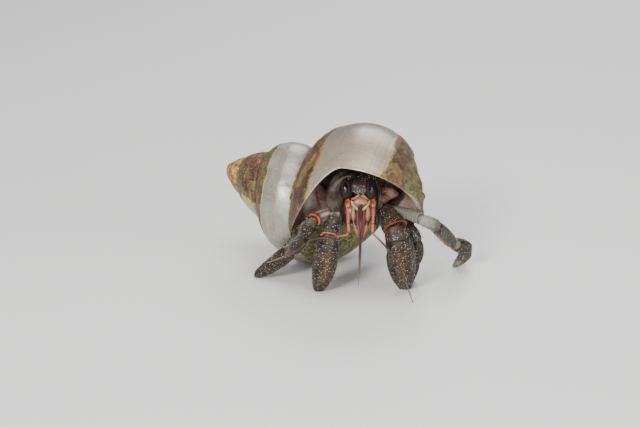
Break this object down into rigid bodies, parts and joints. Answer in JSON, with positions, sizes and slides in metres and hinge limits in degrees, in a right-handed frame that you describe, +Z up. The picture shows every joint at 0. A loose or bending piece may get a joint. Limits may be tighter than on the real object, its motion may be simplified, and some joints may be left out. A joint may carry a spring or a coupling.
{
  "type": "hermit crab",
  "caption": "Land hermit crab standing in a pearly turban shell, claws down and feelers out, a still life-size model for display.",
  "frame": {"origin": "on the ground, under the middle of the model's box", "axes": "+Z up; the crab looks along -Y; its own left side is at +X and the shell's tip points to -X and +Y"},
  "size_m": [0.0512, 0.0384, 0.0321],
  "materials": {
    "pearl": "mother-of-pearl bands between mottled brown, gold and olive bands, satin to glossy",
    "carapace": "dark brown horny plate with fine pale dots, satin",
    "flank": "soft grey-brown folded skin, slightly moist",
    "flesh": "soft pinkish-brown skin, moist",
    "claw_plate": "charcoal-brown armour with pale granules and orange joint rims",
    "leg_plate": "charcoal-brown armour with pale granules and orange joint rims",
    "antenna_orange": "orange horny tubes, glossy",
    "mouth": "pale yellow and pink mouth limbs with violet joints, glossy",
    "cornea": "violet-black wet eye",
    "feeler": "thin ringed brown feelers",
    "setae": "fine pale stiff hairs"
  },
  "bodies": {
    "root": {"shell": "pearl", "shield": "carapace", "thorax": "flesh", "carapace_rear": "flank", "abdomen": "flesh", "flank_right": "flank", "flank_left": "flank", "mouth_frame": "mouth", "eyestalk_right": "carapace", "cornea_right": "cornea", "antenna_base_right": "antenna_orange", "antennule_right": "feeler", "maxilliped_right": "mouth", "eyestalk_left": "carapace", "cornea_left": "cornea", "antenna_base_left": "antenna_orange", "antennule_left": "feeler", "maxilliped_left": "mouth", "antenna_right": "feeler", "antenna_left": "feeler", "claw_right_hip": "claw_plate", "claw_right_merus": "claw_plate", "claw_right_carpus": "claw_plate", "claw_right_finger": "claw_plate", "claw_right_palm": "claw_plate", "claw_left_hip": "claw_plate", "claw_left_merus": "claw_plate", "claw_left_carpus": "claw_plate", "claw_left_finger": "claw_plate", "claw_left_palm": "claw_plate", "leg2_right_hip": "leg_plate", "leg2_right_merus": "leg_plate", "leg2_right_carpus": "leg_plate", "leg2_right_propodus": "leg_plate", "leg2_right_dactyl": "leg_plate", "leg3_right_hip": "leg_plate", "leg3_right_merus": "leg_plate", "leg3_right_carpus": "leg_plate", "leg3_right_propodus": "leg_plate", "leg3_right_dactyl": "leg_plate", "leg2_left_hip": "leg_plate", "leg2_left_merus": "leg_plate", "leg2_left_carpus": "leg_plate", "leg2_left_propodus": "leg_plate", "leg2_left_dactyl": "leg_plate", "leg3_left_hip": "leg_plate", "leg3_left_merus": "leg_plate", "leg3_left_carpus": "leg_plate", "leg3_left_propodus": "leg_plate", "leg3_left_dactyl": "leg_plate", "leg4_right": "flesh", "leg5_right": "flesh", "leg4_left": "flesh", "leg5_left": "flesh"}
  },
  "joints": []
}
